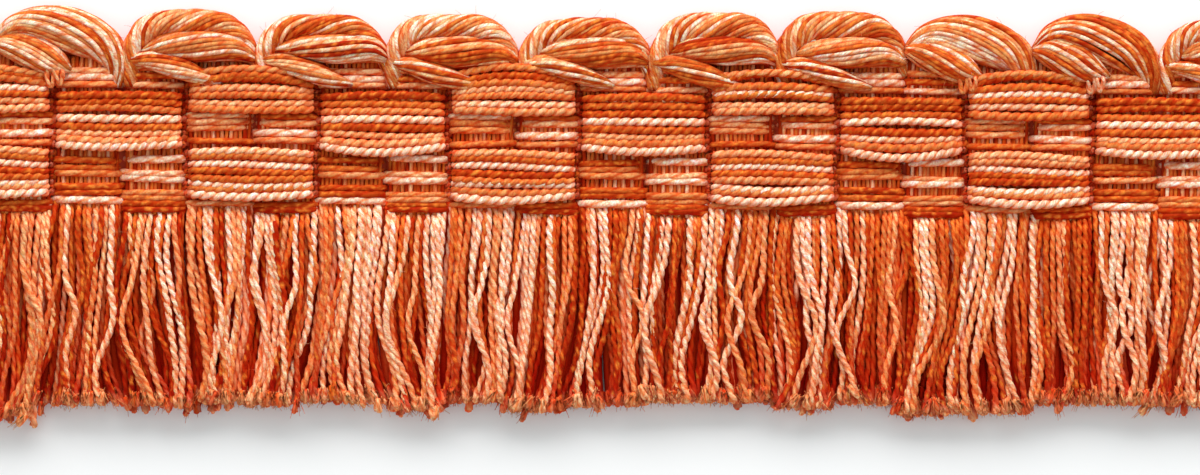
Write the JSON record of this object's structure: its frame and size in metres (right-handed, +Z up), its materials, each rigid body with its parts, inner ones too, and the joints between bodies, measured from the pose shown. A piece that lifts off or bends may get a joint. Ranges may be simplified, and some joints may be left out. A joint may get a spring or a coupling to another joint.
{
  "type": "brush fringe trim",
  "caption": "Flat cut length of brush fringe: a basket-weave heading of multicoloured yarns with a twisted scalloped top edge and a cut brush fringe below.",
  "frame": {"origin": "under the middle of the trim, on the surface that its back lies on", "axes": "+X along the trim, +Y in its plane from the cut fringe towards the scalloped edge, +Z up out of its face"},
  "size_m": [0.1788, 0.0522, 0.005],
  "materials": {
    "heading_yarn": "basket-woven plied yarns in rust, orange, salmon and cream, soft sheen",
    "loop_yarn": "folded and twisted plied yarns, slightly fuzzy",
    "fringe_yarn": "loose plied yarns with brushed cut ends"
  },
  "bodies": {
    "root": {"heading": "heading_yarn", "loop_01": "loop_yarn", "loop_02": "loop_yarn", "loop_03": "loop_yarn", "loop_04": "loop_yarn", "loop_05": "loop_yarn", "loop_06": "loop_yarn", "loop_07": "loop_yarn", "loop_08": "loop_yarn", "loop_09": "loop_yarn", "loop_10": "loop_yarn", "loop_11": "loop_yarn", "brush_fringe": "fringe_yarn"}
  },
  "joints": []
}
